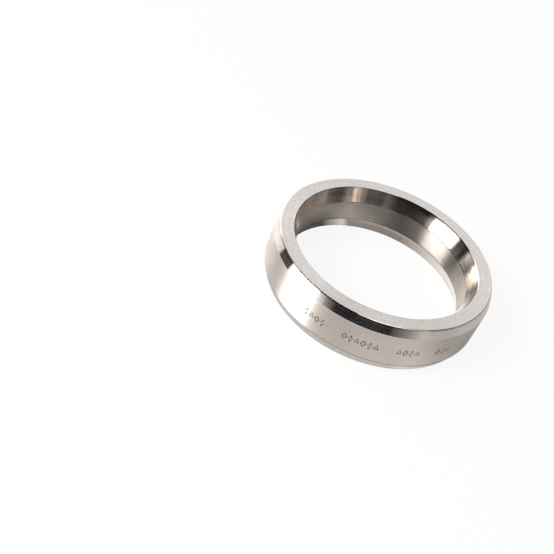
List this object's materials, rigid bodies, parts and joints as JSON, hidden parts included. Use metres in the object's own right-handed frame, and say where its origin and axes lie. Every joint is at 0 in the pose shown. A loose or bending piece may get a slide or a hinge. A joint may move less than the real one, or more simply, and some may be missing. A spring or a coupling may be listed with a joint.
{
  "type": "ring joint gasket",
  "caption": "Turned stainless steel ring joint gasket: a tall ring with flat ends and bevelled edges that wedge into the ring grooves of mating pipe flanges to seal the joint.",
  "frame": {"origin": "centre of the ring, on the plane of its lower flat end", "axes": "+Z along the ring's axis, up from the lower flat end to the upper one; the ring is a body of revolution, so +X and +Y only fix the viewing side"},
  "size_m": [0.106, 0.106, 0.0254],
  "materials": {
    "stainless_steel": "fine turned, satin on the flat ends and the outer wall, smoother on the bevels"
  },
  "bodies": {
    "root": {"gasket_ring": "stainless_steel"}
  },
  "joints": []
}
